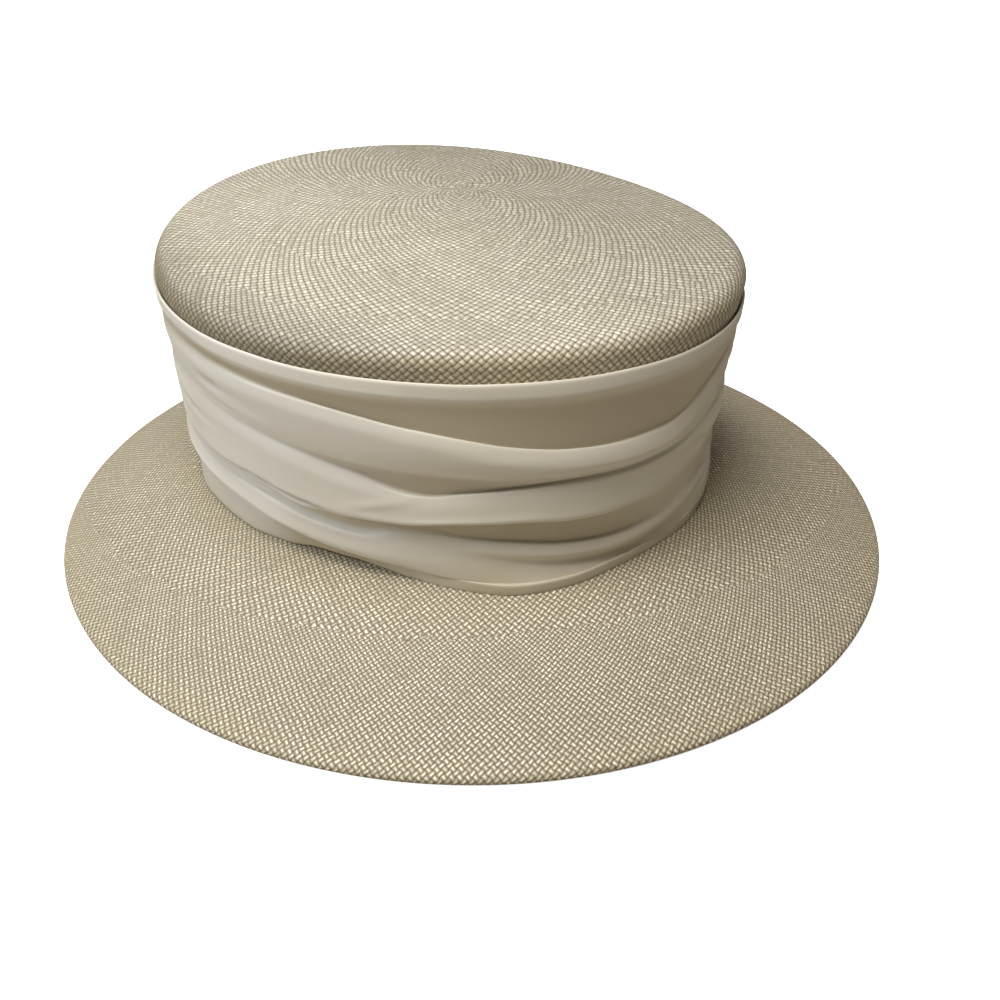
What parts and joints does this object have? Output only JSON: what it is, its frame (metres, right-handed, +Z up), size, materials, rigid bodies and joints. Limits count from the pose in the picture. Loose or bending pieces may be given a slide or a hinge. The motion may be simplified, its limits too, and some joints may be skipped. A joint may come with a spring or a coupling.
{
  "type": "boater hat",
  "caption": "Woven straw hat with a flat, slightly domed oval crown, a sloping brim with a turned-under edge, and a tall draped satin band in soft folds.",
  "frame": {"origin": "middle of the brim, on the surface that the brim's edge rests on", "axes": "+Z up through the crown, -Y to the front of the hat, +X to the wearer's left"},
  "size_m": [0.2958, 0.3016, 0.1098],
  "materials": {
    "crown_straw": "fine cream straw, woven in slanting strands, slightly glossy",
    "brim_straw": "the same woven straw, a little darker and warmer with age",
    "band_satin": "ivory satin with a soft sheen, draped in folds"
  },
  "bodies": {
    "root": {"straw_crown": "crown_straw", "straw_brim": "brim_straw", "satin_band": "band_satin"}
  },
  "joints": []
}
